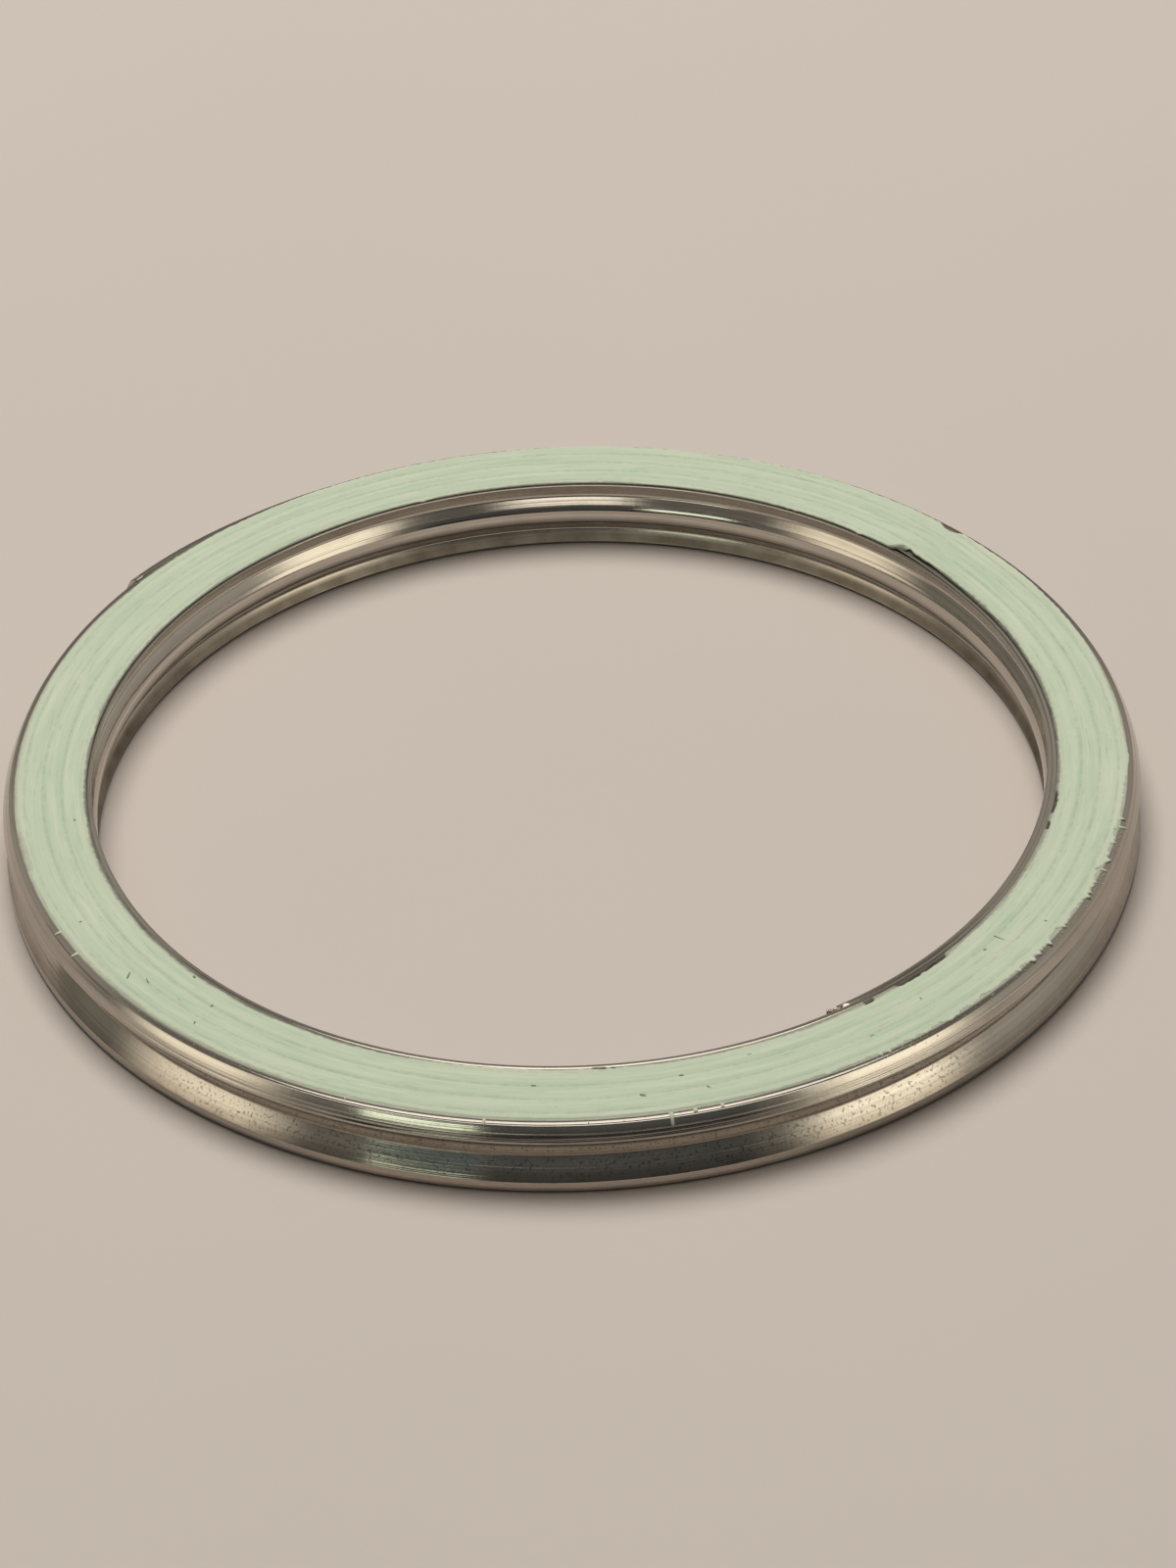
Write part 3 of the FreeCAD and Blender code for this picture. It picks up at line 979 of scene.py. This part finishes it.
def make_floor():
    """A pale floor with a faint warm tint."""
    size = FLOOR_REACH
    points = [(-size, -size, 0), (size, -size, 0), (size, size, 0), (-size, size, 0)]
    floor = new_mesh("floor", points, [[0, 1, 2, 3]], smooth_shading=False)
    n = Surface("floor")
    soft = n.noise(n.position(), 14, 3, 0.5)
    n.set("Base Color", n.mix(soft, (0.590, 0.520, 0.458), (0.630, 0.555, 0.490)))
    n.set("Roughness", 0.75)
    n.set("Specular IOR Level", 0.2)
    floor.data.materials.append(n.material)


def make_lights():
    """A soft lamp above, a little to the back."""
    data = bpy.data.lights.new("key", "AREA")
    data.shape = "DISK"
    data.size = 0.46
    data.energy = 4.65
    data.color = (1.0, 0.985, 0.965)
    lamp = bpy.data.objects.new("key", data)
    lamp.location = Vector((-0.055, 0.235, 0.70))
    lamp.rotation_euler = (-lamp.location).to_track_quat("-Z", "Y").to_euler()
    lamp.visible_glossy = False
    bpy.context.scene.collection.objects.link(lamp)


# What the metal mirrors: patches of the room as (azimuth from, to, elevation from, to, softness
# across and up, colour).
ROOM = (
    (-10, 66, -8, 48, 10, 4, (0.46, 0.43, 0.375)),
    (344, 372, -8, 48, 6, 4, (0.46, 0.43, 0.375)),
    (112, 176, -8, 48, 14, 4, (0.26, 0.24, 0.205)),
    (184, 211, -8, 46, 9, 5, (1.45, 1.30, 1.04)),
    (226, 302, -8, 9.5, 2, 1.5, (0.015, 0.0145, 0.014)),
    (251, 302, 9.5, 33, 2, 1.5, (0.10, 0.10, 0.095)),
    (252, 298, 15, 17, 2, 1, (0.02, 0.02, 0.02)),
    (230, 250, 11, 22, 1.5, 1.5, (1.85, 2.05, 1.60)),
    (229, 250, 23.5, 31, 2, 1.5, (0.10, 0.125, 0.13)),
    (253, 283, 34.5, 42, 7, 1.5, (2.40, 2.25, 1.95)),
    (289, 302, 33, 44, 4, 2, (0.16, 0.15, 0.13)),
    (313, 342, -8, 46, 8, 5, (1.75, 1.60, 1.30)),
    (40, 140, 28, 48, 6, 4, (0.42, 0.39, 0.34)),
    (-10, 370, 62, 95, 2, 3, (2.10, 2.0, 1.82)),
)
ROOM_GREY = (0.20, 0.185, 0.163)
# The sky's light low down, how much overhead adds to it, and how fast that comes.
SKY_LOW = 0.03
SKY_RISE = 0.33
SKY_POWER = 1.5
# Whoever looks from the front keeps this share of the sky's light away, over a patch like ROOM's.
VIEWER = (212, 328, -20, 46, 12.0, 10.0)
VIEWER_SHADE = 0.9
BACKDROP = (0.80, 0.76, 0.72)


def make_world():
    """An even soft light, with the room's patches where metal mirrors them."""
    world = bpy.data.worlds.new("world")
    bpy.context.scene.world = world
    world.use_nodes = True
    n = Nodes(world.node_tree)
    x, y, z = n.split(n.position("Generated"))
    azimuth = n.math("ADD", n.times(n.math("ARCTAN2", y, x), 180 / math.pi), 360.0)
    azimuth = n.math("MODULO", azimuth, 360.0)
    elevation = n.times(n.math("ARCSINE", z), 180 / math.pi)

    def patch(start, end, low, high, across, up):
        return n.times(n.between(azimuth, start, end, across), n.between(elevation, low, high, up))

    seen = ROOM_GREY
    for *extent, colour in ROOM:
        seen = n.mix(patch(*extent), seen, colour)
    rise = n.math("POWER", n.math("MAXIMUM", z, 0.0), SKY_POWER)
    sky = n.math("ADD", n.times(rise, SKY_RISE), SKY_LOW)
    sky = n.times(sky, n.math("SUBTRACT", 1.0, n.times(patch(*VIEWER), VIEWER_SHADE)))
    ray = n.add("ShaderNodeLightPath").outputs
    shown = n.mix(ray["Is Glossy Ray"], n.vector(sky, sky, sky), seen)
    shown = n.mix(ray["Is Camera Ray"], shown, BACKDROP)
    background = n.tree.nodes["Background"]
    n.fed(background, {"Color": shown, "Strength": 1.0})


def finish_piece(piece, material, slot, *nodes):
    """Give a piece its material and the solid it stands for; its slot is not used."""
    piece.data.materials.append(material)
    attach(piece, BODY)
    if nodes:
        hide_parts(*nodes)


def main():
    bpy.context.scene.view_settings.view_transform = "Standard"
    make_camera()
    make_floor()
    make_lights()
    make_world()
    coat = coat_material()
    steel = steel_material()
    finish_piece(make_strip(), steel, "steel", "steel_strip")
    finish_piece(make_filler(), filler_material(), "filler", "filler_strip")
    finish_piece(make_coat("upper_coat", COAT_HIGH, STRIP_HIGH, 21, 1.0), coat, "coat", "top_coating")
    finish_piece(make_coat("lower_coat", COAT_LOW, STRIP_LOW, 57, 0.4), coat, "coat", "bottom_coating")
    finish_piece(make_marks(), mark_material(), "coat")
    finish_piece(make_spatter(), coat, "coat")
    finish_piece(make_burr(), steel, "steel")


main()
